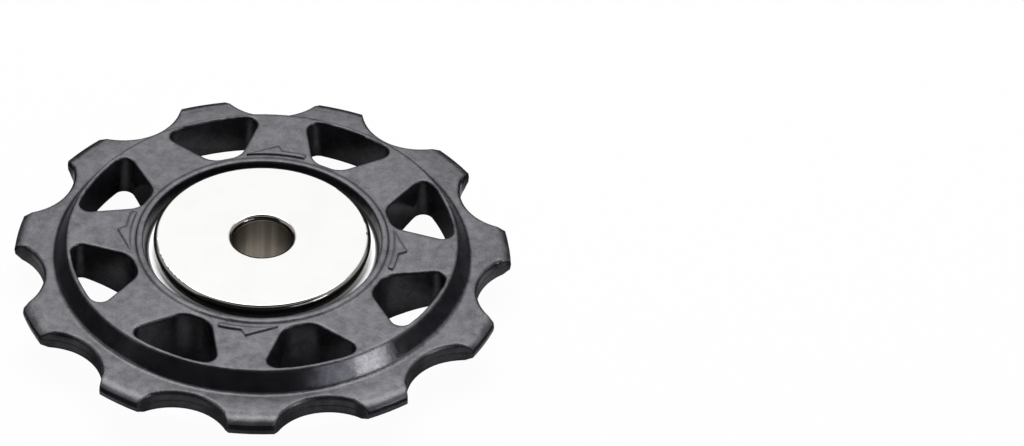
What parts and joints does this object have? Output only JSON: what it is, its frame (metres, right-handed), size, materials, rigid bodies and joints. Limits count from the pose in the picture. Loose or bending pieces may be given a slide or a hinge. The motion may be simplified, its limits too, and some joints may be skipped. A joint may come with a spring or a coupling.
{
  "type": "derailleur jockey wheel",
  "caption": "Toothed guide wheel for a derailleur cage, with a windowed web, a sealed ball bearing, a steel bush and pressed steel caps.",
  "frame": {"origin": "on the bore's axis, halfway between the two cap faces", "axes": "+Z along the bore, towards the face with the arrows; the wheel lies flat in XY"},
  "size_m": [0.0424, 0.0422, 0.0066],
  "materials": {
    "moulded_nylon": "fine matt moulded surface",
    "bearing_steel": "ground bright",
    "seal_rubber": "smooth black rubber",
    "bush_steel": "turned, grey",
    "polished_steel": "polished",
    "cage_steel": "pressed sheet, plain",
    "ball_steel": "lapped"
  },
  "bodies": {
    "hub": {"axle_bush": "bush_steel", "bearing_inner_ring": "bearing_steel", "cap_upper": "polished_steel", "cap_lower": "polished_steel"},
    "wheel": {"toothed_wheel": "moulded_nylon", "bearing_outer_ring": "bearing_steel", "seal_upper": "seal_rubber", "seal_lower": "seal_rubber"},
    "ball_cage": {"cage_upper": "cage_steel", "cage_lower": "cage_steel", "cage_rivets": "cage_steel"},
    "rolling_ball_01": {"ball_01": "ball_steel"},
    "rolling_ball_02": {"ball_02": "ball_steel"},
    "rolling_ball_03": {"ball_03": "ball_steel"},
    "rolling_ball_04": {"ball_04": "ball_steel"},
    "rolling_ball_05": {"ball_05": "ball_steel"},
    "rolling_ball_06": {"ball_06": "ball_steel"},
    "rolling_ball_07": {"ball_07": "ball_steel"},
    "rolling_ball_08": {"ball_08": "ball_steel"},
    "rolling_ball_09": {"ball_09": "ball_steel"},
    "rolling_ball_10": {"ball_10": "ball_steel"}
  },
  "joints": [
    {"name": "wheel_spin", "type": "hinge", "parent": "hub", "child": "wheel", "pos_m": [0, 0, 0], "axis": [0, 0, 1], "continuous": true},
    {"name": "cage_orbit", "type": "hinge", "parent": "hub", "child": "ball_cage", "pos_m": [0, 0, 0], "axis": [0, 0, 1], "continuous": true},
    {"name": "ball_01_roll", "type": "hinge", "parent": "ball_cage", "child": "rolling_ball_01", "pos_m": [0.0069, 0, 0], "axis": [0, 0, 1], "continuous": true},
    {"name": "ball_02_roll", "type": "hinge", "parent": "ball_cage", "child": "rolling_ball_02", "pos_m": [0.00558, 0.00406, 0], "axis": [0, 0, 1], "continuous": true},
    {"name": "ball_03_roll", "type": "hinge", "parent": "ball_cage", "child": "rolling_ball_03", "pos_m": [0.00213, 0.00656, 0], "axis": [0, 0, 1], "continuous": true},
    {"name": "ball_04_roll", "type": "hinge", "parent": "ball_cage", "child": "rolling_ball_04", "pos_m": [-0.00213, 0.00656, 0], "axis": [0, 0, 1], "continuous": true},
    {"name": "ball_05_roll", "type": "hinge", "parent": "ball_cage", "child": "rolling_ball_05", "pos_m": [-0.00558, 0.00406, 0], "axis": [0, 0, 1], "continuous": true},
    {"name": "ball_06_roll", "type": "hinge", "parent": "ball_cage", "child": "rolling_ball_06", "pos_m": [-0.0069, 0, 0], "axis": [0, 0, 1], "continuous": true},
    {"name": "ball_07_roll", "type": "hinge", "parent": "ball_cage", "child": "rolling_ball_07", "pos_m": [-0.00558, -0.00406, 0], "axis": [0, 0, 1], "continuous": true},
    {"name": "ball_08_roll", "type": "hinge", "parent": "ball_cage", "child": "rolling_ball_08", "pos_m": [-0.00213, -0.00656, 0], "axis": [0, 0, 1], "continuous": true},
    {"name": "ball_09_roll", "type": "hinge", "parent": "ball_cage", "child": "rolling_ball_09", "pos_m": [0.00213, -0.00656, 0], "axis": [0, 0, 1], "continuous": true},
    {"name": "ball_10_roll", "type": "hinge", "parent": "ball_cage", "child": "rolling_ball_10", "pos_m": [0.00558, -0.00406, 0], "axis": [0, 0, 1], "continuous": true}
  ],
  "couplings": [
    {"joint": "cage_orbit", "follows": "wheel_spin", "ratio": 0.58627},
    {"joint": "ball_01_roll", "follows": "wheel_spin", "ratio": 2.8117},
    {"joint": "ball_02_roll", "follows": "wheel_spin", "ratio": 2.8117},
    {"joint": "ball_03_roll", "follows": "wheel_spin", "ratio": 2.8117},
    {"joint": "ball_04_roll", "follows": "wheel_spin", "ratio": 2.8117},
    {"joint": "ball_05_roll", "follows": "wheel_spin", "ratio": 2.8117},
    {"joint": "ball_06_roll", "follows": "wheel_spin", "ratio": 2.8117},
    {"joint": "ball_07_roll", "follows": "wheel_spin", "ratio": 2.8117},
    {"joint": "ball_08_roll", "follows": "wheel_spin", "ratio": 2.8117},
    {"joint": "ball_09_roll", "follows": "wheel_spin", "ratio": 2.8117},
    {"joint": "ball_10_roll", "follows": "wheel_spin", "ratio": 2.8117}
  ]
}
